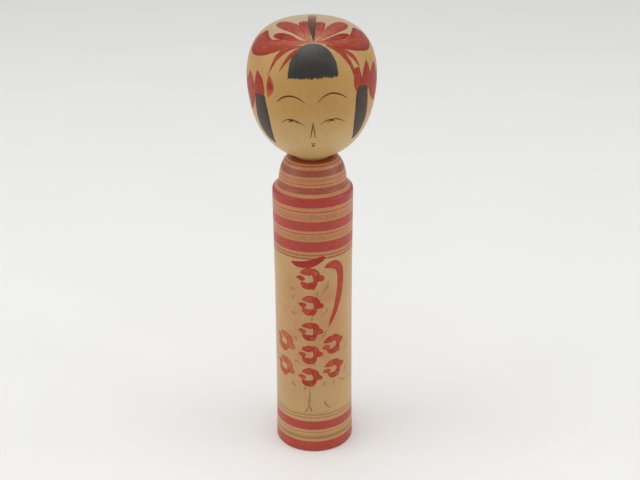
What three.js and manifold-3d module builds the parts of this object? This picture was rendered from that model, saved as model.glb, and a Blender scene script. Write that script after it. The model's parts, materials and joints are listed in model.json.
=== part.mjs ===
// A kokeshi: a painted doll of two lathe-turned pieces of wood, a solid body and a large head.
// The head's own neck ends in a plug with a slight bulge. It is pressed into a socket that is
// undercut behind its lip, so the head can't come off but turns all the way round.
// Millimetres, +Z up along the turning axis, origin at the middle of the base, face towards -Y.

import * as THREE from "three";
import { mergeVertices } from "three/addons/utils/BufferGeometryUtils.js";
import Module from "manifold-3d";

const wasm = await Module();
wasm.setup();

// A point of an outline: distance from the turning axis, then height.
const at = (radius, height) => new THREE.Vector2(radius, height);

// Driving dimensions.
const overallHeight = 240; // eight sun, a standard kokeshi size
const seatHeight = 170.2; // where the head's underside meets its neck
const facets = 64; // flat sides round each turned surface

// The body's flank runs from a softened foot, in at the waist and out again to the shoulder.
const flank = {
  foot: 21.5,
  arris: 0.8,
  calf: at(21.05, 32),
  waist: at(20.8, 95),
  shoulder: at(21.15, 150.4),
};

// A rounded shoulder, a step that slopes in, and the domed collar that stands on it.
const collar = {
  shoulderCorner: at(21.15, 152.1),
  stepTop: at(20, 152.8),
  stepBend: at(18.2, 154.3),
  foot: at(17.8, 155.7),
  wallGuide: at(17.1, 164.5),
  domeGuide: at(14.4, 169.5),
  rim: at(10.2, 169.5),
};

// The socket goes down from the collar's rim: radii, and lengths along the axis.
const socket = { mouth: 9.4, mouthRound: 0.7, lip: 4.2, flare: 1.6, cavity: 10.3, depth: 16, round: 1.2 };

// The plug goes down from the head's seat: radii, and lengths along the axis.
const plug = { neck: 9.1, neckLength: 5.6, flare: 1.3, bulge: 9.9, end: 8.6, taper: 5, length: 16.1 };

// The head swells to its widest ring, well above the middle. Heights are from the seat.
const head = {
  cheekGuide: at(27.1, 6),
  lowGuide: at(32.4, 24.2),
  widest: at(32.4, 41.4),
  highGuide: at(32.4, 65.7),
  crownGuideRadius: 16.7,
};

// Slots left in the base by the four prongs that drove the body on the lathe.
const prongMark = { count: 4, length: 5, width: 0.9, depth: 1.6, radius: 8.5 };

const wood = { roughness: 0.45, metalness: 0 };
const bodyColor = 0xbd9a6c;
const headColor = 0xb8935c;

// One outline from stretches of points, dropping a point that repeats the one before it.
function outline(...stretches) {
  return stretches
    .flat()
    .filter((point, i, all) => i === 0 || point.distanceTo(all[i - 1]) > 1e-6);
}

const bent = (from, guide, to, steps) =>
  new THREE.QuadraticBezierCurve(from, guide, to).getPoints(steps);

const swept = (from, guide1, guide2, to, steps) =>
  new THREE.CubicBezierCurve(from, guide1, guide2, to).getPoints(steps);

const flowing = (points, steps) => new THREE.SplineCurve(points).getPoints(steps);

function turned(points) {
  return new THREE.LatheGeometry(points, facets).rotateX(Math.PI / 2);
}

function toSolid(geometry) {
  const bare = geometry.clone();
  bare.deleteAttribute("normal");
  bare.deleteAttribute("uv");
  const merged = mergeVertices(bare, 1e-4);
  return new wasm.Manifold(
    new wasm.Mesh({
      numProp: 3,
      vertProperties: merged.attributes.position.array,
      triVerts: new Uint32Array(merged.index.array),
    }),
  );
}

function toGeometry(solid) {
  const mesh = solid.getMesh();
  return new THREE.BufferGeometry()
    .setAttribute("position", new THREE.BufferAttribute(mesh.vertProperties, 3))
    .setIndex(new THREE.BufferAttribute(mesh.triVerts, 1));
}

function flankOutline() {
  const foot = at(flank.foot, flank.arris);
  return outline(
    [at(0, 0)],
    bent(at(flank.foot - flank.arris, 0), at(flank.foot, 0), foot, 3),
    flowing([foot, flank.calf, flank.waist, flank.shoulder], 9),
  );
}

function collarOutline() {
  return outline(
    bent(flank.shoulder, collar.shoulderCorner, collar.stepTop, 4),
    bent(collar.stepTop, collar.stepBend, collar.foot, 4),
    swept(collar.foot, collar.wallGuide, collar.domeGuide, collar.rim, 10),
  );
}

// A rounded mouth, the narrow lip, the wider cavity behind it, and a flat floor.
function socketOutline() {
  const top = collar.rim.y;
  const floor = top - socket.depth;
  const lipEnd = top - socket.lip;
  return outline(
    bent(collar.rim, at(socket.mouth, top), at(socket.mouth, top - socket.mouthRound), 3),
    [
      at(socket.mouth, lipEnd),
      at(socket.cavity, lipEnd - socket.flare),
      at(socket.cavity, floor + socket.round),
      at(socket.cavity - socket.round, floor),
      at(0, floor),
    ],
  );
}

function prongSlot(i) {
  return new THREE.BoxGeometry(prongMark.length, prongMark.width, 2 * prongMark.depth)
    .translate(prongMark.radius, 0, 0)
    .rotateZ((2 * Math.PI * (i + 0.5)) / prongMark.count);
}

function bodyGeometry() {
  let solid = toSolid(turned(outline(flankOutline(), collarOutline(), socketOutline())));
  for (let i = 0; i < prongMark.count; i++) {
    solid = solid.subtract(toSolid(prongSlot(i)));
  }
  return toGeometry(solid);
}

// From the tip up: a flat end, a taper out to the bulge, and the neck that the lip surrounds.
function plugOutline() {
  const bulgeTop = -plug.neckLength - plug.flare;
  const tip = -plug.length;
  return outline(
    [at(0, tip)],
    bent(at(plug.end, tip), at(plug.bulge, tip), at(plug.bulge, tip + plug.taper), 4),
    [at(plug.bulge, bulgeTop), at(plug.neck, -plug.neckLength), at(plug.neck, 0)],
  );
}

// From the neck out to the widest ring, and in again to a flattened crown.
function headOutline() {
  const crown = overallHeight - seatHeight;
  return outline(
    swept(at(plug.neck, 0), head.cheekGuide, head.lowGuide, head.widest, 16),
    swept(head.widest, head.highGuide, at(head.crownGuideRadius, crown), at(0, crown), 13),
  );
}

function woodMesh(name, geometry, color) {
  const mesh = new THREE.Mesh(geometry, new THREE.MeshStandardMaterial({ color, ...wood }));
  mesh.name = name;
  return mesh;
}

const kokeshi = new THREE.Group();
kokeshi.add(woodMesh("body", bodyGeometry(), bodyColor));

const headMesh = woodMesh("head", turned(outline(plugOutline(), headOutline())), headColor);
headMesh.position.z = seatHeight;
kokeshi.add(headMesh);

export default kokeshi;
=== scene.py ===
import json
import math
import bpy
import numpy as np
from mathutils import Matrix, Vector


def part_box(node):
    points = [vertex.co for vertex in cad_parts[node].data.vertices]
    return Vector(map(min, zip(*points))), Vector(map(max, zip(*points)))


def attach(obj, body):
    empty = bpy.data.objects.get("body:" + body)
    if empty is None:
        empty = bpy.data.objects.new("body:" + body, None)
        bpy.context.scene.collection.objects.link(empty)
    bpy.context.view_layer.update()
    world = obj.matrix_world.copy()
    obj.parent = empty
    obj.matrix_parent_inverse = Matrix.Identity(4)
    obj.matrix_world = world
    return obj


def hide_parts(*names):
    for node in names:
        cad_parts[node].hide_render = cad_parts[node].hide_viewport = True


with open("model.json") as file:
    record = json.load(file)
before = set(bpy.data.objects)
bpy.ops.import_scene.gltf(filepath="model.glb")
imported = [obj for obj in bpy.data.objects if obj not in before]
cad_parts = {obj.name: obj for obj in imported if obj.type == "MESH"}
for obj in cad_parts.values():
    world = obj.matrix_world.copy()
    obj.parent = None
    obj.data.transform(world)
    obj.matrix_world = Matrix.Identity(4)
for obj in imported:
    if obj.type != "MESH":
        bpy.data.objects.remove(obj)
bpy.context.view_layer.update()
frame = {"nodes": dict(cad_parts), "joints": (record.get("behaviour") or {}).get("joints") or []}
mm = 0.001  # lengths below are in millimetres, angles in degrees
print("frame loaded:", ", ".join(sorted(frame["nodes"])))

# Main heights and the head's radius, from the frame.
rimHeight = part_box("body")[1].z / mm
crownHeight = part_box("head")[1].z / mm
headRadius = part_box("head")[1].x / mm
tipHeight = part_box("head")[0].z / mm
seatHeight = frame["joints"][0]["pos_m"][2] / mm
skullHeight = crownHeight - seatHeight

cameraPlan = {
    "distance": 546.0,  # in front of the turning axis
    "height": 373.2,
    "pitch": 24.83,  # downwards
    "yaw": 0.385,
    "roll": -0.294,
    "lens": 63.56,
}
lightPlan = {
    "room": (1.0, 1.0, 0.985),  # the even light of a white room
    "roomStrength": 0.66,
    "lamps": [  # where, how wide, how strong
        ("ceilingPanel", (-150, -120, 1500), 1250, 7.2),
        ("leftPanel", (-1200, -300, 600), 1000, 4.1),
        ("rightPanel", (1200, -250, 600), 1000, 3.9),
    ],
    "aim": (0, 0, 130),
}


def makeCamera(plan):
    # turned about Z by the yaw, tipped from straight down by the pitch, then rolled about its own axis
    data = bpy.data.cameras.new("viewCamera")
    data.lens = plan["lens"]
    camera = bpy.data.objects.new("viewCamera", data)
    camera.matrix_world = (
        Matrix.Translation((0, -plan["distance"] * mm, plan["height"] * mm))
        @ Matrix.Rotation(math.radians(-plan["yaw"]), 4, "Z")
        @ Matrix.Rotation(math.radians(90 - plan["pitch"]), 4, "X")
        @ Matrix.Rotation(math.radians(plan["roll"]), 4, "Z")
    )
    bpy.context.collection.objects.link(camera)
    bpy.context.scene.camera = camera


def makeLights(plan):
    # an even white room, and square lamps turned from their places towards one point
    world = bpy.data.worlds.new("whiteRoom")
    world.use_nodes = True
    sky = world.node_tree.nodes["Background"]
    sky.inputs["Color"].default_value = (*plan["room"], 1)
    sky.inputs["Strength"].default_value = plan["roomStrength"]
    bpy.context.scene.world = world
    for name, place, width, watts in plan["lamps"]:
        data = bpy.data.lights.new(name, "AREA")
        data.size = width * mm
        data.energy = watts
        lamp = bpy.data.objects.new(name, data)
        lamp.location = [c * mm for c in place]
        aim = Vector(plan["aim"]) - Vector(place)
        lamp.rotation_euler = aim.to_track_quat("-Z", "Y").to_euler()  # a lamp shines along its own -Z
        bpy.context.collection.objects.link(lamp)


makeCamera(cameraPlan)
makeLights(lightPlan)
bpy.context.scene.view_settings.view_transform = "Standard"
print("camera and lights placed")


woodLook = {
    "fibreScale": 1.5,  # the grain's streaks, per millimetre across
    "fibreLength": 14,  # how many times longer than wide they are
    "fibreDepth": 0.26,
    "ringWidth": 2.3,  # growth rings, seen as faint upright stripes
    "ringWander": 9.6,  # how far a ring strays, over about 20 mm
    "wanderScale": 0.05,
    "ringTaper": 0.012,  # how little the rings change along the grain
    "ringDepth": 0.05,
    "pith": (-41, 26),  # the tree's middle, off to one side of the billet
    "patchSize": 20,  # cloudy change of tone from age and handling
    "patchDepth": 0.62,
    "gritScale": 1.5,  # fine pores
    "gritBand": (0.35, 0.65),
    "gritDepth": 0.42,
    "contrast": 0.38,  # the smaller, the more of the wood is at its palest or deepest
    "speckScale": 3.2,
    "speckLength": 6.25,
    "speckBand": (0.66, 0.74),
    "specks": 0.30,
    "toolMarkScale": 3.5,  # rings left by the turning tool, per millimetre
    "toolMarkHeight": 0.005,
    "fibreHeight": 0.008,
    "gritHeight": 0.002,
    "roughness": (0.38, 0.50),
    "shine": 0.5,
    "wax": 0.20,
    "waxRoughness": 0.28,
}
bodyWood = {
    **woodLook,
    "pale": (0.535, 0.335, 0.132),
    "deep": (0.405, 0.222, 0.072),
}
headWood = {
    **woodLook,
    "pale": (0.580, 0.388, 0.158),
    "deep": (0.452, 0.268, 0.086),
    "browShadeAndYellowing": (0.82, 0.685, 0.38),  # painted shade: the brow darker and more yellow between these heights, mostly for the weaker sheen it catches, partly yellowing with age
    "browShadeZone": (183, 207, 224, 239),
    "crownSheen": (0.84, 0.90, 1.25),  # painted sheen: the crown above it greyer and bluer, where it reflects the bright room
}

# What a full coat of each colour lets through of the wood's own colour.
redDye = (0.78, 0.105, 0.090)
ribbonDye = (0.69, 0.095, 0.105)
brownDye = (0.60, 0.225, 0.125)
umberDye = (0.45, 0.33, 0.20)
greenDye = (0.62, 0.60, 0.42)
leafDye = (0.56, 0.49, 0.30)
blackInk = (0.030, 0.043, 0.16)
lockInk = (0.050, 0.046, 0.085)
partingInk = (0.17, 0.055, 0.050)
lineInk = (0.185, 0.095, 0.022)
white = (1, 1, 1, 1)  # lets all of it through


def put(tree, kind, inputs, **settings):
    # adds a node; each input is a plain value, or a socket to link from
    node = tree.nodes.new("ShaderNode" + kind)
    for name, value in settings.items():
        setattr(node, name, value)
    for name, value in inputs.items():
        if isinstance(value, bpy.types.NodeSocket):
            tree.links.new(value, node.inputs[name])
        else:
            node.inputs[name].default_value = value
    return node


def sums(tree, operation, *values, clamp=False):
    # one Math node: values are numbers or sockets
    return put(tree, "Math", dict(enumerate(values)), operation=operation, use_clamp=clamp).outputs[0]


def stretched(tree, place, scale):
    # a place times a scale for each axis: under 1 draws a pattern out along that axis
    return put(tree, "VectorMath", {0: place, 1: scale}, operation="MULTIPLY").outputs[0]


def noise(tree, place, scale, detail=2.0, roughness=0.5):
    # cloudy noise from 0 to 1, with so many waves per millimetre
    inputs = {"Vector": place, "Scale": scale, "Detail": detail, "Roughness": roughness}
    return put(tree, "TexNoise", inputs).outputs[0]


def ranged(tree, value, low, high, toLow=0.0, toHigh=1.0, kind="LINEAR"):
    # low to high becomes toLow to toHigh, and stays there past either end
    inputs = {"Value": value, "From Min": low, "From Max": high, "To Min": toLow, "To Max": toHigh}
    return put(tree, "MapRange", inputs, interpolation_type=kind).outputs[0]


def blended(tree, mode, factor, first, second):
    # two colours mixed by a factor; the Mix node's colour sockets have numbers, as their names repeat
    node = put(tree, "Mix", {}, data_type="RGBA", blend_type=mode)
    for socket, value in zip((node.inputs[0], node.inputs[6], node.inputs[7]), (factor, first, second)):
        if isinstance(value, bpy.types.NodeSocket):
            tree.links.new(value, socket)
        else:
            socket.default_value = value
    return node.outputs[2]


def millimetres(tree):
    # the point's own place on the doll, in millimetres
    coordinates = put(tree, "TexCoord", {}).outputs["Object"]
    return put(tree, "VectorMath", {0: coordinates, "Scale": 1 / mm}, operation="SCALE").outputs[0]


def browShadeAndCrownSheen(tree, look, color, height):
    # the colour times the brow's tone inside its zone of heights, and times the crown's tone above it:
    # painted shade on the brow (partly yellowing with age) and painted sheen on the crown
    start, full, fade, end = look["browShadeZone"]
    inside = ranged(tree, height, start, full, kind="SMOOTHSTEP")
    inside = sums(tree, "MULTIPLY", inside, ranged(tree, height, end, fade, kind="SMOOTHSTEP"))
    browShadeAndYellowing = blended(tree, "MIX", inside, white, (*look["browShadeAndYellowing"], 1))
    above = ranged(tree, height, fade, end, kind="SMOOTHSTEP")
    crownSheen = blended(tree, "MIX", above, white, (*look["crownSheen"], 1))
    return blended(tree, "MULTIPLY", 1.0, blended(tree, "MULTIPLY", 1.0, color, browShadeAndYellowing), crownSheen)


def growthRings(tree, look, place):
    # a sine of the distance from the pith, which a slow noise makes wander
    pith = (-look["pith"][0], -look["pith"][1], 0)
    fromPith = put(tree, "VectorMath", {0: place, 1: pith}, operation="ADD").outputs[0]
    flat = stretched(tree, fromPith, (1, 1, look["ringTaper"]))
    distance = put(tree, "VectorMath", {0: flat}, operation="LENGTH").outputs["Value"]
    wander = noise(tree, stretched(tree, place, (1, 1, 0.25)), look["wanderScale"], detail=3)
    distance = sums(tree, "MULTIPLY_ADD", wander, look["ringWander"], distance)
    wave = sums(tree, "SINE", sums(tree, "MULTIPLY", distance, 2 * math.pi / look["ringWidth"]))
    return ranged(tree, wave, -0.8, 1.0, kind="SMOOTHSTEP")


def woodNodes(tree, look):
    # Colour: growth rings, long fine fibres, cloudy age and pores, each times its depth, add up to a
    # place between pale and deep, and dark specks come on top. Height: fibres, pores and tool marks.
    place = millimetres(tree)
    cloud = noise(tree, place, 1 / look["patchSize"], detail=3)
    grain = stretched(tree, place, (1, 1, 1 / look["fibreLength"]))
    fibre = noise(tree, grain, look["fibreScale"], detail=5, roughness=0.65)
    grit = ranged(tree, noise(tree, place, look["gritScale"], detail=4, roughness=0.65), *look["gritBand"])
    ring = growthRings(tree, look, place)
    speck = noise(tree, stretched(tree, place, (1, 1, 1 / look["speckLength"])), look["speckScale"])
    speck = ranged(tree, speck, *look["speckBand"], 0.0, look["specks"])

    depth = sums(tree, "MULTIPLY", ring, look["ringDepth"])
    depth = sums(tree, "MULTIPLY_ADD", fibre, look["fibreDepth"], depth)
    depth = sums(tree, "MULTIPLY_ADD", cloud, look["patchDepth"], depth)
    depth = sums(tree, "MULTIPLY_ADD", grit, look["gritDepth"], depth)
    middle = 0.5 * (look["ringDepth"] + look["fibreDepth"] + look["patchDepth"] + look["gritDepth"])
    depth = ranged(tree, depth, middle - look["contrast"], middle + look["contrast"])
    depth = sums(tree, "ADD", depth, speck, clamp=True)
    color = blended(tree, "MIX", depth, (*look["pale"], 1), (*look["deep"], 1))
    # the head's painted shade across the brow and painted sheen on the crown
    if "browShadeAndYellowing" in look:
        color = browShadeAndCrownSheen(tree, look, color, put(tree, "SeparateXYZ", {0: place}).outputs[2])

    toolMark = noise(tree, stretched(tree, place, (0.02, 0.02, 1)), look["toolMarkScale"])
    height = sums(tree, "MULTIPLY", fibre, look["fibreHeight"])
    height = sums(tree, "MULTIPLY_ADD", toolMark, look["toolMarkHeight"], height)
    height = sums(tree, "MULTIPLY_ADD", grit, look["gritHeight"], height)
    roughness = ranged(tree, sums(tree, "ADD", grit, cloud), 0.6, 1.4, *look["roughness"])
    return {"place": place, "color": color, "height": height, "roughness": roughness, "grit": grit}


def finishMaterial(material, look, color, roughness, height):
    # colour and roughness as given, the height as a bump, and a clear coat of wax over it all
    tree = material.node_tree
    shader = tree.nodes["Principled BSDF"]
    # heights are in millimetres, and a bump's distance is in metres
    bump = put(tree, "Bump", {"Strength": 1.0, "Distance": mm, "Height": height})
    tree.links.new(color, shader.inputs["Base Color"])
    tree.links.new(roughness, shader.inputs["Roughness"])
    tree.links.new(bump.outputs[0], shader.inputs["Normal"])
    shader.inputs["Specular IOR Level"].default_value = look["shine"]
    shader.inputs["Coat Weight"].default_value = look["wax"]
    shader.inputs["Coat Roughness"].default_value = look["waxRoughness"]
    return material


def newMaterial(name):
    # one with a shader still to be set
    material = bpy.data.materials.new(name)
    material.use_nodes = True
    return material


def dyed(tree, woodColor, dye, strength):
    # the dye's colour to the power of its strength, times the wood under it
    if isinstance(dye, tuple):
        dye = (*dye, 1)
    through = put(tree, "Gamma", {"Color": dye, "Gamma": strength}).outputs[0]
    return blended(tree, "MULTIPLY", 1.0, woodColor, through)


def bareWood(name, look):
    # the wood as it is, under its wax
    material = newMaterial(name)
    wood = woodNodes(material.node_tree, look)
    return finishMaterial(material, look, wood["color"], wood["roughness"], wood["height"])


bristleLook = {
    "stretch": (0.12, 1.9, 1),  # the streaks' scale along the stroke and across it
    "bristles": 1.4,  # what streaks and pools each add to the unevenness
    "pools": 0.8,
    "poolScale": 0.35,
    "uneven": (0.7, 1.5),
    "thickening": 0.6,  # a streak adds this much of what a gap takes away
    "rubScale": 1.7,
    "rubBand": (0.56, 0.66),
}


def brushedPaint(name, look, dye, streaks=0.35, wear=0.0, dullness=0.0):
    # The stroke's own attributes give how much colour the brush left (inkLoad) and where a point
    # lies along and across the stroke (brushPlace), for streaks that follow the bristles. The
    # strength is the load times the streaks, and less where a hand has rubbed.
    material = newMaterial(name)
    tree = material.node_tree
    wood = woodNodes(tree, look)
    b = bristleLook
    load = put(tree, "Attribute", {}, attribute_name="inkLoad").outputs["Fac"]
    along = put(tree, "Attribute", {}, attribute_name="brushPlace").outputs["Vector"]
    bristles = noise(tree, stretched(tree, along, b["stretch"]), 1.0, detail=3, roughness=0.6)
    pools = sums(tree, "MULTIPLY", noise(tree, along, b["poolScale"]), b["pools"])
    uneven = sums(tree, "ADD", sums(tree, "MULTIPLY", bristles, b["bristles"]), pools)
    strength = ranged(tree, uneven, *b["uneven"], 1 - streaks, 1 + streaks * b["thickening"])
    strength = sums(tree, "MULTIPLY", strength, load)
    if wear:
        rubbed = noise(tree, wood["place"], b["rubScale"], detail=4, roughness=0.7)
        rubbed = ranged(tree, rubbed, *b["rubBand"], 1.0, 1 - wear)
        strength = sums(tree, "MULTIPLY", strength, rubbed)
    color = dyed(tree, wood["color"], dye, strength)
    roughness = sums(tree, "ADD", wood["roughness"], dullness)
    return finishMaterial(material, look, color, roughness, wood["height"])


# Rings that the brush lays while the body turns: lower edge, upper edge, colour, strength.
ringPlan = {
    "raggedness": 0.10,  # how far an edge strays up and down
    "bleedScale": 4.0,
    "upperZone": (118.8, 170.0),
    "upperStain": 0.20,  # thin red that has spread over the wood between the rings
    "upper": [  # the shoulder's rings, from the lowest, and those of the step and the collar
        (119.1, 119.7, umberDye, 0.95),
        (120.9, 121.5, brownDye, 0.90),
        (123.2, 128.9, redDye, 0.95),
        (129.8, 132.2, greenDye, 0.30),
        (133.0, 133.5, redDye, 0.50),
        (134.9, 140.2, redDye, 0.85),
        (140.9, 143.9, greenDye, 0.35),
        (145.1, 145.7, redDye, 0.75),
        (147.7, 152.7, redDye, 1.15),
        (154.2, 157.3, brownDye, 0.90),
        (158.7, 159.2, redDye, 0.85),
        (160.1, 161.8, greenDye, 0.40),
        (162.8, 166.0, brownDye, 0.95),
        (167.3, 167.8, brownDye, 0.90),
        (168.5, 169.7, brownDye, 0.95),
    ],
    "lowerZone": (-1.0, 26.0),
    "lowerEnd": 25.7,
    "lowerStain": 0.05,
    "lower": [
        (0.15, 6.6, redDye, 0.95),
        (7.9, 8.4, greenDye, 0.45),
        (8.4, 9.6, greenDye, 1.05),
        (9.6, 10.6, greenDye, 0.5),
        (12.2, 12.7, brownDye, 0.50),
        (14.2, 19.7, redDye, 0.95),
        (21.8, 22.3, umberDye, 0.90),
        (23.7, 24.2, umberDye, 0.95),
    ],
    # red that hands have rubbed from the flowers into the wood around them
    "rubbed": 0.14,
    "rubbedZone": (38, 60, 96, 118.8),
    "rubbedFront": (-9, -19),  # it starts this far forward of the axis, and is full here
    "smearScale": 0.10,
    "smearBand": (0.2, 0.7),
    "spunScale": 2.2,  # fine lines that the brush leaves round a ring
    "evenness": (0.76, 1.22),  # a ring's strength in its faintest and its fullest lines
}


def ringRamp(tree, height, zone, rings, stain):
    # a stepped ramp over the height: the stain, and each ring's colour between its two edges
    low, high = zone
    ramp = put(tree, "ValToRGB", {0: ranged(tree, height, low, high)})
    stops = ramp.color_ramp
    stops.interpolation = "CONSTANT"
    stained = [c**stain for c in redDye]
    stops.elements[0].color = (*stained, 1)
    stops.elements.remove(stops.elements[1])
    for bottom, top, dye, strength in rings:
        inside = [c**strength * s for c, s in zip(dye, stained)]
        stops.elements.new((bottom - low) / (high - low)).color = (*inside, 1)
        stops.elements.new((top - low) / (high - low)).color = (*stained, 1)
    return ramp.outputs[0]


def handRubbed(tree, plan, place, height):
    # how much red is rubbed in: a zone of heights, times the front of the body, times a cloudy smear
    start, full, fade, end = plan["rubbedZone"]
    rubbed = sums(tree, "MULTIPLY", ranged(tree, height, start, full), ranged(tree, height, end, fade))
    front = put(tree, "SeparateXYZ", {0: place}).outputs[1]
    rubbed = sums(tree, "MULTIPLY", rubbed, ranged(tree, front, *plan["rubbedFront"]))
    smear = noise(tree, place, plan["smearScale"])
    return sums(tree, "MULTIPLY", rubbed, ranged(tree, smear, *plan["smearBand"], 0.0, plan["rubbed"]))


def ringedWood(name, look, plan):
    # a point's height, made a little ragged, looks up its ring's colour in the upper or lower ramp
    material = newMaterial(name)
    tree = material.node_tree
    wood = woodNodes(tree, look)
    height = put(tree, "SeparateXYZ", {0: wood["place"]}).outputs[2]
    bleed = stretched(tree, wood["place"], (1, 1, 0.2))
    bleed = noise(tree, bleed, plan["bleedScale"], detail=3, roughness=0.6)
    ragged = sums(tree, "MULTIPLY_ADD", bleed, plan["raggedness"] * 2, -plan["raggedness"])
    height = sums(tree, "ADD", height, ragged)
    upper = ringRamp(tree, height, plan["upperZone"], plan["upper"], plan["upperStain"])
    lower = ringRamp(tree, height, plan["lowerZone"], plan["lower"], plan["lowerStain"])
    rings = blended(tree, "MIX", sums(tree, "GREATER_THAN", height, plan["upperZone"][0]), white, upper)
    rings = blended(tree, "MIX", sums(tree, "LESS_THAN", height, plan["lowerEnd"]), rings, lower)
    woodColor = dyed(tree, wood["color"], redDye, handRubbed(tree, plan, wood["place"], height))
    spun = stretched(tree, wood["place"], (0.05, 0.05, 1))
    spun = noise(tree, spun, plan["spunScale"], detail=3, roughness=0.6)
    evenness = ranged(tree, sums(tree, "ADD", spun, wood["grit"]), 0.5, 1.5, *plan["evenness"])
    color = dyed(tree, woodColor, rings, evenness)
    return finishMaterial(material, look, color, wood["roughness"], wood["height"])


# How each paint's surface differs from the wood's. Then for each paint: streaks, wear, dullness.
# the four head paints below copy the head wood, its painted brow shade and crown sheen included
hairLook = {**headWood, "shine": 0.42, "wax": 0.44, "waxRoughness": 0.30}
lockLook = {**headWood, "shine": 0.38, "wax": 0.10}
ribbonLook = {**headWood, "shine": 0.30, "wax": 0.0}
lineLook = {**headWood, "shine": 0.20, "wax": 0.03}
flowerLook = {**bodyWood, "shine": 0.35, "wax": 0.06}

materials = {
    "head": bareWood("waxedHeadWood", headWood),
    "body": ringedWood("ringedBodyWood", bodyWood, ringPlan),
    "hair": brushedPaint("blackHairInk", hairLook, blackInk, 0.24, 0.12, 0.02),
    "lock": brushedPaint("wornLockInk", lockLook, lockInk, 0.20, 0.35, 0.02),
    "parting": brushedPaint("fadedPartingInk", lockLook, partingInk, 0.30, 0.20, 0.02),
    "line": brushedPaint("fineLineInk", lineLook, lineInk, 0.15),
    "ribbon": brushedPaint("ribbonRed", ribbonLook, ribbonDye, 0.60, 0.15),
    "flower": brushedPaint("flowerRed", flowerLook, redDye, 0.52, 0.20),
    "leaf": brushedPaint("fadedLeaf", bodyWood, leafDye, 0.4, 0.35),
}
print("materials made:", len(materials))


def bezier(guides, steps):
    # each guide point weighted by its Bernstein polynomial of t, from 0 to 1
    guides = np.array(guides, float)
    order = len(guides) - 1
    t = np.linspace(0, 1, steps + 1)[:, None]
    return sum(math.comb(order, k) * t**k * (1 - t) ** (order - k) * g for k, g in enumerate(guides))


def flowing(points, spacing):
    # Catmull-Rom: each span is the cubic whose end slopes are half the steps between its neighbours
    points = np.array(points, float)
    padded = np.vstack([2 * points[0] - points[1], points, 2 * points[-1] - points[-2]])
    s = np.linspace(0, len(points) - 1, 24 * len(points))
    i = np.minimum(s.astype(int), len(points) - 2)
    t = (s - i)[:, None]
    a, b, c, d = (padded[i + k] for k in range(4))
    square = 2 * a - 5 * b + 4 * c - d
    cube = 3 * b - 3 * c + d - a
    return evenly(0.5 * (2 * b + (c - a) * t + square * t**2 + cube * t**3), spacing)


def evenly(curve, spacing):
    # the same line, with its points a chosen distance apart
    length = np.r_[0, np.cumsum(np.linalg.norm(np.diff(curve, axis=0), axis=1))]
    wanted = np.linspace(0, length[-1], max(3, int(math.ceil(length[-1] / spacing)) + 1))
    return np.stack([np.interp(wanted, length, column) for column in curve.T], -1)


def joined(*stretches):
    # stretches of outline end to end, without the points that two of them share
    parts = [np.array(stretches[0], float)] + [np.array(s, float)[1:] for s in stretches[1:]]
    return np.vstack(parts)


def addPiece(name, points, faces, material, attributes=None):
    # points in millimetres and whole arrays of values per point, to a smooth mesh at the origin
    mesh = bpy.data.meshes.new(name)
    mesh.from_pydata((points * mm).tolist(), [], faces)
    mesh.materials.append(material)
    for label, values in (attributes or {}).items():
        vector = values.ndim == 2
        made = mesh.attributes.new(label, "FLOAT_VECTOR" if vector else "FLOAT", "POINT")
        made.data.foreach_set("vector" if vector else "value", values.astype(np.float32).ravel())
    mesh.shade_smooth()
    mesh.set_sharp_from_angle(angle=math.radians(40))
    piece = bpy.data.objects.new(name, mesh)
    bpy.context.collection.objects.link(piece)
    return piece


def turned(outline, columns):
    # Surface of revolution: the ring at (r, z) is x = r sin a, y = -r cos a. The outline starts and
    # ends on the axis, and each of those ends is one point.
    angle = np.linspace(0, 2 * math.pi, columns, endpoint=False)
    r, z = outline[1:-1, 0, None], outline[1:-1, 1, None]
    rings = np.stack([r * np.sin(angle), -r * np.cos(angle), z + 0 * angle], -1)
    points = np.vstack([[[0, 0, outline[0, 1]]], rings.reshape(-1, 3), [[0, 0, outline[-1, 1]]]])
    k = 1 + np.arange(len(rings) - 1)[:, None] * columns
    i = np.arange(columns)
    j = (i + 1) % columns
    quads = np.stack(np.broadcast_arrays(k + i, k + j, k + columns + j, k + columns + i), -1)
    last = 1 + (len(rings) - 1) * columns
    firstFan = np.stack([0 * i, 1 + j, 1 + i], -1)
    lastFan = np.stack([0 * i + len(points) - 1, last + i, last + j], -1)
    faces = quads.reshape(-1, 4).tolist() + firstFan.tolist() + lastFan.tolist()
    return points, faces


bodyTurning = {
    "columns": 360,
    "baseSpacing": 0.28,  # between the rings of points: fine enough on the base for the prong marks
    "flankSpacing": 1.3,
    "collarSpacing": 0.4,
    "foot": 21.5,
    "arris": 0.8,
    "flank": [(21.05, 32), (20.8, 95), (21.15, rimHeight - 19.1)],
    "shoulderRound": [(21.15, rimHeight - 19.1), (21.15, rimHeight - 17.4), (20, rimHeight - 16.7)],
    "step": [(20, rimHeight - 16.7), (18.2, rimHeight - 15.2), (17.8, rimHeight - 13.8)],
    "collar": [(17.8, rimHeight - 13.8), (17.1, rimHeight - 5), (14.4, rimHeight), (10.2, rimHeight)],
    "mouth": 9.4,
    "mouthRound": 0.7,
    "lip": 4.2,
    "flare": 1.6,
    "cavity": 10.3,
    "depth": 16,
    "cavityRound": 1.2,
}
# the lathe's four prongs: "edge" is how wide the slot's own sides are
prongMarks = {"count": 4, "radius": 8.5, "length": 5, "width": 0.9, "depth": 1.6, "edge": 0.14}
headTurning = {
    "columns": 360,
    "spacing": 0.55,
    "neck": 9.1,
    "neckLength": 5.6,
    "flare": 1.3,
    "bulge": 9.9,
    "end": 8.6,
    "taper": 5,
    "cheek": [(9.1, 0), (27.1, 6), (headRadius, 24.2), (headRadius, 41.4)],
    "brow": [(headRadius, 41.4), (headRadius, 65.7), (16.7, skullHeight), (0, skullHeight)],
}


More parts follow.
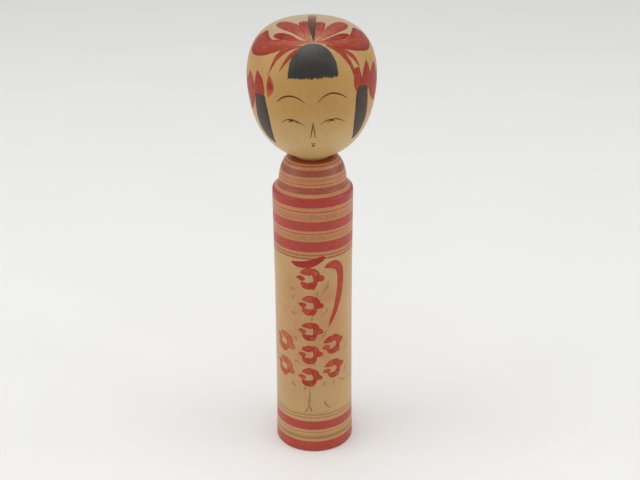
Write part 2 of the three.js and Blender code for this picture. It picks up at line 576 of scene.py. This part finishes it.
def bodyOutline(t):
    # From the middle of the base: flat, round the foot, up the flank, over the shoulder, the step and
    # the domed collar, then down into the socket, out behind its lip and in along its floor.
    foot, arris, mouth, rim = t["foot"], t["arris"], t["mouth"], t["collar"][-1]
    lipEnd, floor = rimHeight - t["lip"], rimHeight - t["depth"]
    cavity, soft = t["cavity"], t["cavityRound"]
    base = evenly(np.array([(0, 0), (foot - arris, 0)]), t["baseSpacing"])
    foot = bezier([(foot - arris, 0), (foot, 0), (foot, arris)], 8)
    flank = flowing([foot[-1], *t["flank"]], t["flankSpacing"])
    dome = evenly(bezier(t["collar"], 60), t["collarSpacing"])
    lip = bezier([rim, (mouth, rimHeight), (mouth, rimHeight - t["mouthRound"])], 6)
    cut = [lip[-1], (mouth, lipEnd), (cavity, lipEnd - t["flare"]), (cavity, floor + soft)]
    bottom = bezier([(cavity, floor + soft), (cavity, floor), (cavity - soft, floor)], 5)
    shoulder, step = bezier(t["shoulderRound"], 10), bezier(t["step"], 12)
    return joined(base, foot, flank, shoulder, step, dome, lip, cut, bottom, [bottom[-1], (0, floor)])


def plugOutline(t):
    # from the tip up: a flat end, a taper out to the bulge, and the neck that the lip surrounds
    tip, bulgeTop = tipHeight - seatHeight, -t["neckLength"] - t["flare"]
    end = bezier([(t["end"], tip), (t["bulge"], tip), (t["bulge"], tip + t["taper"])], 10)
    neck = [end[-1], (t["bulge"], bulgeTop), (t["neck"], -t["neckLength"]), (t["neck"], 0)]
    return joined([(0, tip), end[0]], end, neck)


def skullOutline(t):
    # two cubic curves that meet at the widest ring: neck to widest, and widest to crown
    cheek, brow = bezier(t["cheek"], 200), bezier(t["brow"], 200)
    return joined(evenly(cheek, t["spacing"]), evenly(brow, t["spacing"]))


def pressProngs(points, marks):
    # the base is raised by the mark's depth wherever a point is inside one of the narrow slots
    flat = points[:, 2] < 1e-6
    radius, angle = np.hypot(points[:, 0], points[:, 1]), np.arctan2(points[:, 1], points[:, 0])
    share = 2 * math.pi / marks["count"]
    off = (angle % share) - share / 2
    across = np.abs(radius * np.sin(off))
    along = np.abs(radius * np.cos(off) - marks["radius"])
    inside = np.minimum(marks["width"] / 2 - across, marks["length"] / 2 - along)
    points[:, 2] += flat * marks["depth"] * np.clip(inside / marks["edge"] + 0.5, 0, 1)


bodyLine = bodyOutline(bodyTurning)
points, faces = turned(bodyLine, bodyTurning["columns"])
pressProngs(points, prongMarks)
turnedBody = addPiece("turnedBody", points, faces, materials["body"])
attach(turnedBody, "body")
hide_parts("body")

skullLine = skullOutline(headTurning) + (0, seatHeight)
headLine = joined(plugOutline(headTurning) + (0, seatHeight), skullLine)
points, faces = turned(headLine, headTurning["columns"])
turnedHead = addPiece("turnedHead", points, faces, materials["head"])
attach(turnedHead, "head")
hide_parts("head")
print("wood turned: body and head")


def makeSkin(outline, middle=None):
    # What a painted point needs of the outline: radius, height and outward normal, looked up by
    # height, or by latitude seen from a middle point on the axis.
    slope = np.gradient(outline, axis=0)
    normal = np.stack([slope[:, 1], -slope[:, 0]], -1)
    normal /= np.linalg.norm(normal, axis=1)[:, None]
    key = outline[:, 1] if middle is None else np.degrees(np.arctan2(outline[:, 1] - middle, outline[:, 0]))
    return {"key": key, "outline": outline, "normal": normal, "middle": middle}


def onSkin(skin, angle, key):
    # the outline's point and normal at a key, swung round the axis by the angle
    r, z = (np.interp(key, skin["key"], column) for column in skin["outline"].T)
    outward, upward = (np.interp(key, skin["key"], column) for column in skin["normal"].T)
    spots = np.stack([r * np.sin(angle), -r * np.cos(angle), z], -1)
    normals = np.stack([outward * np.sin(angle), -outward * np.cos(angle), upward], -1)
    return spots, normals


def drop(skin, spots):
    # a point keeps its direction round the axis, and its height or latitude
    angle = np.arctan2(spots[..., 0], -spots[..., 1])
    if skin["middle"] is None:
        return onSkin(skin, angle, spots[..., 2])
    reach = np.hypot(spots[..., 0], spots[..., 1])
    return onSkin(skin, angle, np.degrees(np.arctan2(spots[..., 2] - skin["middle"], reach)))


skullMiddle = 209.2  # the height of latitude 0
headSkin = makeSkin(skullLine, skullMiddle)
flankSkin = makeSkin(flowing([(bodyTurning["foot"], bodyTurning["arris"]), *bodyTurning["flank"]], 0.5))
bellyRadius = 21.0

hand = np.random.default_rng(24)
brush = {
    "lineStep": 0.12,  # between the points of a stroke's own line
    "step": 0.35,  # length of a painted face along a stroke
    "crowding": 0.85,  # how much shorter the faces are at a stroke's ends
    "thickness": 0.016,  # of the first coat, and each later stroke adds a little
    "coat": 0.003,
    "depth": 0.05,  # the film's underside, inside the wood
    "pointed": 0.03,  # half-width of a pointed tip
    "wobble": 0.05,
    "wobbleRates": (0.5, 1.1, 2.3),
    "steadyBelow": 0.5,  # a stroke with a smaller half-width wobbles less
    "spending": 0.9,  # how the load changes along a stroke, as a power
    "rimPower": 4,  # how narrow the darker rim is
    "coatShift": (40, 7.0),  # each coat reads another part of the bristles' noise
}


def headPlace(places):
    # longitude, which grows towards +X, and latitude, both in degrees
    places = np.radians(np.array(places, float))
    spots, _ = onSkin(headSkin, places[:, 0], np.degrees(places[:, 1]))
    return spots


def bodyPlace(places):
    # distance round the flank from the front, and height
    places = np.array(places, float)
    spots, _ = onSkin(flankSkin, places[:, 0] / bellyRadius, places[:, 1])
    return spots


def wobble(along, size):
    # three slow sines of random phase, for an edge drawn by hand
    rates = brush["wobbleRates"]
    phases = hand.uniform(0, 2 * math.pi, len(rates))
    return size * sum(np.sin(along * rate + phase) for rate, phase in zip(rates, phases)) / 2


def film(spots, normals, coat):
    # A closed skin of paint: the grid raised above the wood, the same grid sunk below it, and
    # the walls between, as a tube with a cap at each end.
    rows, columns = spots.shape[:2]
    top = spots + normals * (brush["thickness"] + brush["coat"] * coat)
    bottom = spots - normals * brush["depth"]
    loop = np.concatenate([top, bottom[:, ::-1]], 1)
    i = np.arange(rows - 1)[:, None] * 2 * columns
    c = np.arange(2 * columns)
    d = (c + 1) % (2 * columns)
    tube = np.stack(np.broadcast_arrays(i + c, i + 2 * columns + c, i + 2 * columns + d, i + d), -1)
    j = np.arange(columns - 1)
    under = 2 * columns - 1 - j
    cap = np.stack([j, j + 1, under - 1, under], -1)
    faces = np.vstack([tube.reshape(-1, 4), cap, cap[:, ::-1] + (rows - 1) * 2 * columns])
    return loop.reshape(-1, 3), faces


def filmValues(grid):
    # a value per grid point, repeated for the film's underside
    return np.concatenate([grid, grid[:, ::-1]], 1).reshape(-1, *grid.shape[2:])


def strokeWidths(length, marks, half, start, end):
    # half-widths flow between those given at the path's points; a round end follows a half circle
    total = length[-1]
    widthSteps = 200
    width = flowing(np.stack([length[marks], half], -1), total / widthSteps)
    width = np.interp(length, width[:, 0], np.maximum(width[:, 1], brush["pointed"]))
    for kind, gap, tip in ((start, length, half[0]), (end, total - length, half[-1])):
        if kind == "round":
            reach = np.clip(gap / max(tip, 0.2), 0, 1)
            width = np.maximum(width * np.sqrt(1 - (1 - reach) ** 2), brush["pointed"])
    return width


def stroke(skin, path, half, load=1.0, endLoad=None, start="point", end="round", across=11, fray=0.0,
           rim=0.12, coat=0, shake=1.0):
    # A brush stroke: half-widths carried along a path on the skin. Column v of -1 to 1 lies v times
    # the half-width to the side of the path, and every point is dropped back on the skin.
    line, up = drop(skin, flowing(path, brush["lineStep"]))
    side = np.cross(up, np.gradient(line, axis=0))
    side /= np.linalg.norm(side, axis=1)[:, None]
    length = np.r_[0, np.cumsum(np.linalg.norm(np.diff(line, axis=0), axis=1))]
    total = length[-1]
    marks = [np.argmin(np.linalg.norm(line - drop(skin, np.array([p]))[0], axis=1)) for p in path]
    width = strokeWidths(length, marks, half, start, end)

    t = np.linspace(0, 1, max(12, int(total / brush["step"])))
    ease = t - brush["crowding"] * np.sin(2 * math.pi * t) / (2 * math.pi)
    v = np.linspace(-1, 1, across)
    ragged = fray * hand.uniform(0, 1, (2, across))  # where each bristle starts and stops
    along = ragged[0] + (total - ragged.sum(0)) * ease[:, None]
    widths = np.interp(along, length, width)
    left = wobble(along[:, :1], brush["wobble"] * shake)
    right = wobble(along[:, :1], brush["wobble"] * shake)
    steady = np.clip(widths / brush["steadyBelow"], 0, 1)
    shares = v * widths + steady * v * np.where(v < 0, left, right)
    spots = sum(
        np.stack([np.interp(along, length, column) for column in grid.T], -1) * scale
        for grid, scale in ((line, 1), (side, shares[..., None]))
    )
    spots, normals = drop(skin, spots)
    points, faces = film(spots, normals, coat)

    endLoad = load if endLoad is None else endLoad
    spent = (along / total) ** brush["spending"]
    ink = load + (endLoad - load) * spent + rim * np.abs(v) ** brush["rimPower"]
    shift, layer = brush["coatShift"]
    place = np.stack([along + shift * coat, shares, layer * coat + 0 * shares], -1)
    return {"points": points, "faces": faces, "ink": filmValues(ink), "place": filmValues(place)}


def headStroke(path, **manner):
    # its path in longitude and latitude
    return stroke(headSkin, headPlace(path), **manner)


def bodyStroke(path, **manner):
    # its path in distance round the flank and height
    return stroke(flankSkin, bodyPlace(path), **manner)


def paintPiece(name, body, material, films):
    # all films of one colour in one mesh
    starts = np.cumsum([0] + [len(f["points"]) for f in films[:-1]])
    points = np.vstack([f["points"] for f in films])
    faces = np.vstack([f["faces"] + s for f, s in zip(films, starts)]).tolist()
    attributes = {
        "inkLoad": np.concatenate([f["ink"] for f in films]),
        "brushPlace": np.vstack([f["place"] for f in films]),
    }
    piece = addPiece(name, points, faces, material, attributes)
    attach(piece, body)
    print("painted:", name, len(films), "strokes")


fringe = {
    "middle": 1.2,  # this and the lengths below are in degrees on the head
    "halfWidth": 22.3,
    "bottom": 16.9,
    "height": 28.6,
    "fullness": (2.3, 0.385),  # the powers that make the dome's curve
    "tilt": 0.6,
    "least": 1.5,  # no column is shorter than this
    "swayEvery": 1.5,  # the columns' sideways sway changes over this much height
    "dryCurve": 1.2,  # the power by which the brush runs dry towards the edge
    "teeth": (0.99, 1.54),  # the lower edge's raggedness, by the hair and by the clump
    "bristles": [0.15, 0.7, 0.15],  # how far neighbouring hairs hang together
    "clumpWidth": 13,
    "sway": 0.35,
    "notch": (-0.4, 0.9, 1.4),  # where, how wide, how deep
    "corner": (0.12, 1.0),  # how wide, how deep
    "dryTips": (0.88, 1.35),  # where a hair starts to run dry, and how dry
    "load": [0.80, 0.80, 1.40],  # the ink heavier low down, so the fringe is darker towards the bottom: painted shade below the sheen at its top
    "loadAt": [0, 0.45, 0.8],
    "degree": (0.56, 0.52),  # in millimetres, down and across
    "columns": 220,
    "rows": 40,
}


def fringeFilm(plan):
    # Each column runs down a line of longitude. The dome is 1 less |t| to one power, all to another.
    # The lower edge is ragged by two random rows, by the hair and smoothed into clumps, and has a
    # notch and a low corner.
    columns, pad = plan["columns"], plan["clumpWidth"] - 1
    t = np.linspace(-1, 1, columns)
    lon = plan["middle"] + plan["halfWidth"] * t
    power, root = plan["fullness"]
    dome = plan["bottom"] + plan["height"] * np.maximum(1 - np.abs(t) ** power, 0) ** root
    bristle = np.convolve(hand.uniform(-1, 1, columns + 4), plan["bristles"], "same")[2:-2]
    smooth = np.hanning(plan["clumpWidth"]) * 2 / pad
    clump = np.convolve(hand.uniform(-1, 1, columns + 2 * pad), smooth, "same")[pad:-pad]
    byHair, byClump = plan["teeth"]
    lower = plan["bottom"] + byHair * bristle + byClump * clump + plan["tilt"] * t
    place, width, deep = plan["notch"]
    lower -= deep * np.exp(-(((lon - place) / width) ** 2))
    width, deep = plan["corner"]
    lower -= deep * np.exp(-(((t + 1) / width) ** 2))
    dome = np.maximum(dome, lower + plan["least"])

    share = np.linspace(0, 1, plan["rows"])[:, None]
    lat = dome + (lower - dome) * share
    lon = lon + wobble(lat / plan["swayEvery"], plan["sway"]) * t**5
    spots, normals = onSkin(headSkin, np.radians(lon), lat)
    points, faces = film(spots, normals, 1)

    dry = np.clip(hand.uniform(-1.0, 1.9, columns) * (0.55 + 0.6 * t), 0, 1)  # driest on the right
    dry = np.convolve(dry, plan["bristles"], "same")
    start, dryness = plan["dryTips"]
    # heavier ink low down paints shade: the fringe darker towards the bottom
    ink = np.interp(share, plan["loadAt"], plan["load"])
    ink = ink - dryness * dry * np.clip((share - start) / (1 - start), 0, 1) ** plan["dryCurve"]
    down, across = plan["degree"]
    place = np.stack([(dome - lat) * down, lon * across, 0 * lat], -1)
    return {"points": points, "faces": faces, "ink": filmValues(ink), "place": filmValues(place)}


# The dark stroke over the crown, from behind it down to the bow's knot, where it is darkest.
crownStroke = [
    {"path": [(175.7, 78.4), (3.8, 80.7), (2.2, 73), (1.8, 66), (1.9, 57.8), (2.3, 51.2), (2.5, 46.8)],
     "half": [1.9, 1.95, 1.8, 1.6, 1.2, 0.6, 0.05], "load": 0.10, "endLoad": 1.7, "start": "round",
     "end": "point", "fray": 0.8, "across": 21, "coat": 24},
]

# The side locks, each set down flat and drawn out to a ragged point.
sideLocks = [
    {"path": [(-51.3, -1.6), (-51.4, -12), (-51.5, -20), (-52.2, -29), (-51.8, -37), (-50, -44),
              (-46.9, -48.6)],
     "half": [3.7, 4.5, 5.0, 5.0, 4.2, 2.3, 0.1], "load": 0.98, "endLoad": 0.92, "coat": 20},
    {"path": [(49.4, 5.7), (49.2, 2.2), (48.9, -4), (49.6, -12), (50.5, -20.5), (51.4, -29.2),
              (51.8, -36.5), (50.6, -42), (48.2, -44.4)],
     "half": [2.3, 3.9, 4.4, 4.7, 4.8, 4.4, 3.3, 1.6, 0.1], "load": 1.00, "endLoad": 0.94, "coat": 21},
]
for lock in sideLocks:
    lock.update({"start": "flat", "end": "point", "fray": 0.7, "across": 31})

# The bow: the big outer loops, each of three strokes, then the upper pair, the inner petals, the two
# that stand up, and the hanging ends.
knot = (2.6, 46.4)  # where its strokes meet
bow = [
    {"path": [knot, (-12, 45.0), (-24, 43.3), (-36, 41.6), (-49, 41.0), (-65, 43.0), (-81, 47.0)],
     "half": [0.1, 0.4, 1.1, 1.75, 2.0, 2.9, 2.9]},
    {"path": [knot, (-27, 42.2), (-42, 38.3), (-56, 35.5), (-70, 34.8), (-83, 36.8)],
     "half": [0.1, 1.2, 2.6, 3.6, 4.2, 3.2]},
    {"path": [knot, (-50, 39.5), (-66, 39.0), (-85, 40.5)],
     "half": [0.1, 3.2, 4.6, 3.0], "load": 0.4, "endLoad": 1.2},
    {"path": [knot, (14, 45.7), (24, 44.6), (37.8, 43.6), (50, 43.8), (66, 45.8), (84, 48.5)],
     "half": [0.1, 0.3, 0.8, 1.4, 2.2, 3.1, 3.0]},
    {"path": [knot, (25, 43.2), (40, 40.4), (55, 38.4), (70, 37.8), (86, 40.4)],
     "half": [0.1, 0.9, 2.2, 3.2, 3.9, 3.2]},
    {"path": [knot, (50, 42.0), (66, 41.6), (88, 43.4)],
     "half": [0.1, 3.0, 4.6, 3.2], "load": 0.4, "endLoad": 1.2},
    {"path": [knot, (-6.3, 49.7), (-16.4, 55.7), (-31, 61.6), (-46, 63.4), (-68, 63.2), (-85, 60.8)],
     "half": [0.1, 0.8, 2.0, 3.3, 3.6, 3.2, 1.9], "endLoad": 1.6},
    {"path": [knot, (8, 48.5), (16.8, 52.8), (34, 58.7), (55, 61), (72, 61), (83, 59.8)],
     "half": [0.1, 0.5, 1.6, 3.1, 3.6, 3.0, 1.8], "endLoad": 1.3},
    {"path": [knot, (-14, 48), (-24, 49.4), (-36, 50.4), (-46, 50.0), (-53.4, 49)],
     "half": [0.1, 0.5, 1.4, 2.0, 1.9, 0.9]},
    {"path": [knot, (14, 47.6), (25, 48.8), (34, 49.4), (44, 49.8), (53.5, 49.2)],
     "half": [0.1, 0.35, 1.05, 1.5, 1.55, 0.6]},
    {"path": [knot, (-3, 50.8), (-7, 57.2), (-14.2, 66), (-34, 77.3)],
     "half": [0.1, 0.9, 1.5, 2.05, 2.6], "endLoad": 1.5},
    {"path": [knot, (5.4, 51.2), (10.9, 57.5), (18.4, 65.4), (33, 75.3)],
     "half": [0.1, 0.7, 1.5, 2.2, 2.5], "endLoad": 1.4},
    {"path": [(-11, 42.8), (-25.9, 39.1), (-34, 31.4), (-37.7, 23.9), (-40.6, 16.4)],
     "half": [0.4, 1.3, 1.15, 0.5, 0.06], "end": "point", "load": 0.9, "endLoad": 1.1},
    {"path": [(-13, 41.0), (-19.8, 34.8), (-25, 28.1), (-29.6, 20.7)],
     "half": [0.3, 1.0, 0.7, 0.06], "end": "point", "load": 0.8, "endLoad": 1.1},
    {"path": [(16, 43.6), (28.3, 37.6), (34, 30.4), (37.4, 24.4), (40.2, 15)],
     "half": [0.5, 1.4, 1.15, 0.9, 0.7], "end": "point", "load": 0.9, "endLoad": 1.2},
    {"path": [(26, 41.0), (39.1, 33.2), (44.4, 26.9), (47, 20)],
     "half": [0.4, 1.05, 0.75, 0.06], "end": "point", "load": 0.9, "endLoad": 1.1},
]
for order, petal in enumerate(bow):
    # almost no dye at the knot: a thin start of each stroke, and a painted highlight, the pale pink there
    petal.setdefault("load", 0.12)
    petal.setdefault("endLoad", 2.0)
    petal.setdefault("rim", 0.35)
    petal["coat"] = order + 2

# Two spread fans beside the face, each of a few short strokes that run together above the lock,
# and on one side a drop with a darker middle.
sideRibbons = [
    {"path": [(-84, 15), (-82.5, 9), (-81, 3), (-79.5, -4), (-79.5, -11)],
     "half": [0.4, 1.8, 2.5, 1.8, 0.1], "load": 0.9, "start": "round"},
    {"path": [(-70.3, 14), (-68.5, 10), (-68, 4.5), (-67.8, -1), (-67.8, -8), (-69, -15), (-72.5, -21.5)],
     "half": [0.7, 3.0, 5.2, 5.6, 4.4, 2.4, 0.1], "load": 1.0, "start": "round"},
    {"path": [(-55, 17.4), (-54, 13.5), (-52.6, 9.5), (-52, 4.5), (-51.6, 0), (-51.5, -3.4)],
     "half": [0.5, 2.1, 3.3, 3.9, 3.8, 3.0], "start": "round"},
    {"path": [(-40, 16.4), (-39, 13), (-38.5, 9), (-38.4, 5.5), (-39.4, 1.5), (-41.2, -3.2)],
     "half": [0.1, 1.3, 2.2, 2.3, 1.5, 0.1], "load": 0.75, "endLoad": 0.35},
    {"path": [(-38.4, 11.8), (-38.6, 8.8), (-38.6, 6.2), (-38.1, 3.3)],
     "half": [0.1, 1.4, 1.65, 0.1], "load": 1.2, "endLoad": 1.2},
    {"path": [(88.5, 20), (86.5, 12), (85, 4), (83.5, -4), (83, -12)],
     "half": [0.5, 2.2, 3.0, 2.1, 0.1], "start": "round"},
    {"path": [(73, 20.5), (71, 15), (69, 9), (68.5, 3), (69, -3), (71.5, -9.5), (74, -15)],
     "half": [1.0, 3.2, 5.4, 5.8, 4.8, 2.6, 0.1], "start": "round"},
    {"path": [(58.5, 24.6), (57.5, 22), (56.7, 19), (55.8, 15.5), (55, 10), (54, 5), (53, 1.5)],
     "half": [0.3, 1.4, 2.3, 3.2, 3.9, 3.7, 2.6], "start": "round"},
    {"path": [(44, 21.9), (43.4, 18), (43.3, 13), (44, 8.5), (45.5, 4), (47, 1)],
     "half": [1.6, 2.1, 2.65, 3.0, 2.9, 2.2], "start": "round"},
]
for order, ribbon in enumerate(sideRibbons):
    ribbon.setdefault("load", 1.35)
    ribbon.setdefault("endLoad", 1.05)
    ribbon["end"] = "point"
    ribbon["coat"] = order + 4


def onHead(name, material, plans):
    # one piece of strokes that ride the head
    paintPiece(name, "head", material, [headStroke(**plan) for plan in plans])


paintPiece("fringe", "head", materials["hair"], [fringeFilm(fringe)])
onHead("crownStroke", materials["parting"], crownStroke)
onHead("sideLocks", materials["lock"], sideLocks)
onHead("hairBow", materials["ribbon"], bow)
onHead("sideRibbons", materials["ribbon"], sideRibbons)


# The face, in thin brush lines: brows, upper lids, lower lids, pupils, nose and mouth.
face = [
    {"path": [(-31.4, -5.2), (-26.4, -0.8), (-20.3, 1.3), (-14.6, 1.0), (-10.1, -1.0), (-5.6, -4.9)],
     "half": [0.17, 0.37, 0.43, 0.36, 0.26, 0.08]},
    {"path": [(4.9, -3.6), (9.0, 0.8), (13.6, 3.4), (19.2, 3.9), (26.2, 1.4), (31.6, -2.4)],
     "half": [0.10, 0.23, 0.36, 0.40, 0.30, 0.10]},
    {"path": [(-28.6, -23.9), (-23.8, -20.7), (-18.6, -19.7), (-12.7, -21.3), (-6.1, -25.6)],
     "half": [0.08, 0.24, 0.29, 0.24, 0.08]},
    {"path": [(7.5, -23.9), (12.2, -20.6), (17.1, -19.6), (23.2, -19.9), (31.4, -23.5)],
     "half": [0.08, 0.22, 0.29, 0.25, 0.08]},
    {"path": [(-23, -22.8), (-18.7, -21.4), (-14.8, -21.8), (-10.9, -23.4)],
     "half": [0.07, 0.19, 0.20, 0.07]},
    {"path": [(12.3, -22.2), (17.1, -20.8), (21.3, -21.8)], "half": [0.07, 0.20, 0.07]},
    {"path": [(-21, -21), (-18.8, -20.7), (-17, -20.7)], "half": [0.26, 0.41, 0.22]},
    {"path": [(15.4, -20.6), (17.3, -20.2), (19.2, -20.5)], "half": [0.26, 0.41, 0.22]},
    {"path": [(0.9, -21.7), (-0.1, -28.6), (-1.6, -36.7)], "half": [0.07, 0.26, 0.17]},
    {"path": [(0.9, -21.7), (1.8, -28.6), (3.2, -36.7)], "half": [0.07, 0.26, 0.17]},
    {"path": [(-1.4, -43.1), (1, -43.5), (3.4, -43.1)], "half": [0.17, 0.36, 0.17], "load": 1.1},
    {"path": [(-0.9, -45.4), (0.9, -45.8), (2.7, -45.4)], "half": [0.20, 0.58, 0.20], "load": 1.2},
]
for order, line in enumerate(face):
    line.setdefault("load", 0.95)
    line.update({"end": "point", "across": 5, "coat": order, "shake": 0.3, "rim": 0.0})
onHead("faceLines", materials["line"], face)


flowerPlan = {
    # where each flower stands, how far it leans, its size, and how much dye the brush still held
    "flowers": [
        ((-2.4, 107.5), 2, 1.04, 1.25),
        ((-2.0, 91.7), -2, 0.96, 1.15),
        ((-2.2, 76.1), 0, 0.95, 1.2),
        ((-2.4, 61.9), 2, 0.95, 1.1),
        ((-2.7, 47.7), -1, 0.94, 1.15),
        ((-18.3, 67.1), -20, 1.0, 0.68),
        ((-18.3, 51.4), -17, 0.96, 0.62),
        ((10.8, 67.0), 19, 0.96, 1.05),
        ((11.1, 51.9), 16, 0.94, 1.0),
    ],
    # one flower round its open middle: a cap of two humps, the right petal, the lower one and its
    # corner, and the left petal
    "petals": [
        {"path": [(-4.6, 3.5), (-3.0, 4.0), (-0.9, 4.25), (1.0, 4.2), (2.2, 3.9)],
         "half": [0.15, 1.3, 1.95, 2.15, 1.7], "end": "round"},
        {"path": [(0.7, 4.3), (2.8, 3.8), (3.8, 2.0), (3.9, 0.1), (3.2, -1.4)],
         "half": [1.6, 1.95, 1.95, 1.75, 1.2], "start": "round"},
        {"path": [(3.4, 0.8), (5.4, 0.5), (7.9, -0.2)], "half": [1.5, 1.75, 1.15], "end": "round"},
        {"path": [(3.2, -1.0), (2.5, -2.6), (1.0, -3.7), (-1.2, -3.7), (-3.0, -2.7), (-4.3, -1.2)],
         "half": [0.9, 1.5, 1.85, 1.75, 1.4, 0.25]},
        {"path": [(0.5, -3.4), (1.5, -4.4), (2.3, -5.8)], "half": [1.4, 1.4, 0.5]},
        {"path": [(-6.8, 0.7), (-5.2, 0.9), (-3.6, 0.4), (-2.2, -0.5)],
         "half": [0.15, 1.15, 1.45, 1.1], "end": "round"},
    ],
    "stray": 0.15,  # how far a point strays from flower to flower
    "widths": (0.94, 1.06),
    "loads": (0.72, 1.25),
    "spent": 0.85,  # the load at a petal's end
    "rim": 0.8,
    "shake": 2.2,
}


def flower(number, plan):
    # the petals, turned by the flower's lean and resized, about its centre
    center, lean, size, load = plan["flowers"][number]
    angle = math.radians(lean)
    turn = size * np.array([[math.cos(angle), math.sin(angle)], [-math.sin(angle), math.cos(angle)]])
    films = []
    for order, petal in enumerate(plan["petals"]):
        path = np.array(petal["path"])
        path = (path + hand.uniform(-plan["stray"], plan["stray"], path.shape)) @ turn + center
        half = size * np.array(petal["half"]) * hand.uniform(*plan["widths"])
        inked = load * hand.uniform(*plan["loads"])
        films.append(bodyStroke(
            path, half=half, load=inked, endLoad=inked * plan["spent"], start=petal.get("start", "point"),
            end=petal.get("end", "point"), coat=len(plan["petals"]) * (number % 3) + order,
            rim=plan["rim"], shake=plan["shake"],
        ))
    return films


# The short branch above the flowers, and the long one that hooks down beside them.
branches = [
    {"path": [(-12.2, 116.6), (-8.5, 115.9), (-4, 116.1), (0, 117.2), (3.5, 118.8), (6.2, 120.2)],
     "half": [0.5, 1.55, 2.05, 2.05, 1.55, 0.8], "load": 1.7, "start": "round", "rim": 0.4},
    {"path": [(6.2, 114.0), (9.3, 115.0), (12.7, 114.3), (15.3, 110.7), (15.7, 103.7), (14.7, 96.3),
              (12.7, 89.0), (10.2, 83.0), (8.0, 78.5)],
     "half": [0.5, 1.9, 2.4, 2.2, 2.0, 1.85, 1.5, 0.95, 0.05], "load": 1.0, "endLoad": 1.15, "end": "point",
     "start": "round", "rim": 0.4},
]

# Faded little strokes round the flowers, and the longest of them at the bottom, where they fork.
leafLook = {"tip": 0.12, "half": 0.55, "tail": 0.10, "load": 0.8}
leafStrokes = [
    [(-13.6, 100.9), (-11.6, 101.0), (-9.6, 99.9)],
    [(-11.6, 94.4), (-11.2, 96.4), (-9.4, 97.6)],
    [(-13.3, 86.9), (-11.8, 86.5), (-9.9, 85.4)],
    [(8.0, 105.6), (7.4, 102.4), (4.6, 99.1)],
    [(2.0, 101.0), (2.0, 98.5), (1.4, 96.5)],
    [(7.4, 90.5), (6.6, 87.6), (3.3, 84.8)],
    [(-0.9, 85.0), (-1.0, 83.8), (-1.1, 82.2)],
    [(7.0, 77.0), (6.0, 74.2), (3.8, 71.8)],
    [(20.9, 66.8), (20.6, 63.8), (18.9, 61.0)],
    [(-11.4, 57.2), (-9.8, 57.3), (-8.2, 56.2)],
    [(-13.6, 43.3), (-12.0, 42.4), (-9.9, 41.0)],
    [(-12.4, 72.0), (-10.2, 71.4), (-8.6, 69.6)],
    [(-4.4, 42.4), (-4.9, 41.0), (-6.0, 39.4)],
    [(6.0, 45.0), (5.4, 43.4), (4.2, 41.8)],
    [(10.8, 44.6), (11.2, 43.6), (10.8, 42.2)],
    [(15.0, 44.6), (17.0, 43.2), (19.2, 42.7)],
    [(19.9, 52.0), (19.6, 49.4), (18.4, 47.2)],
    [(-2.4, 41.4), (-2.5, 36), (-2.8, 32.1), (-3.9, 26.1)],
    [(-3.2, 29.8), (-4.0, 27.2), (-5.8, 25.2)],
    [(-2.6, 30.6), (-2.0, 28.0), (-1.3, 25.3)],
    [(5.2, 33.4), (6.6, 30.2), (9.4, 27.2)],
]


def leaf(number, path):
    # pointed at both ends, and as wide as the others between them
    half = [leafLook["tip"]] + [leafLook["half"]] * (len(path) - 2) + [leafLook["tail"]]
    return bodyStroke(path, half=half, load=leafLook["load"], end="point", across=5, coat=number % 4)


flowers = [film for number in range(len(flowerPlan["flowers"])) for film in flower(number, flowerPlan)]
paintPiece("plumFlowers", "body", materials["flower"], flowers)
hooks = [bodyStroke(**branch, coat=16 + order) for order, branch in enumerate(branches)]
paintPiece("branchStrokes", "body", materials["flower"], hooks)
leaves = [leaf(number, path) for number, path in enumerate(leafStrokes)]
paintPiece("fadedLeaves", "body", materials["leaf"], leaves)


floorPlan = {
    "width": 9000,
    "color": (0.84, 0.84, 0.83),
    "mottle": 0.985,  # the darkest of its faint clouds
    "roughness": 0.6,
    "shine": 0.2,
    "gap": 0.02,  # just clear of the doll's base
}


def makeFloor(plan):
    # one square under the doll; it is scenery, and not part of it
    side = plan["width"] / 2
    material = newMaterial("paleFloor")
    tree = material.node_tree
    clouds = noise(tree, millimetres(tree), 0.01)
    clouds = ranged(tree, clouds, 0.3, 0.7, plan["mottle"], 1.0)
    color = blended(tree, "MULTIPLY", 1.0, (*plan["color"], 1), clouds)
    shader = tree.nodes["Principled BSDF"]
    tree.links.new(color, shader.inputs["Base Color"])
    shader.inputs["Roughness"].default_value = plan["roughness"]
    shader.inputs["Specular IOR Level"].default_value = plan["shine"]
    corners = [(-side, -side), (side, -side), (side, side), (-side, side)]
    points = np.array([(x, y, -plan["gap"]) for x, y in corners])
    floor = addPiece("paleFloor", points, [[0, 1, 2, 3]], material)


makeFloor(floorPlan)
print("floor laid")
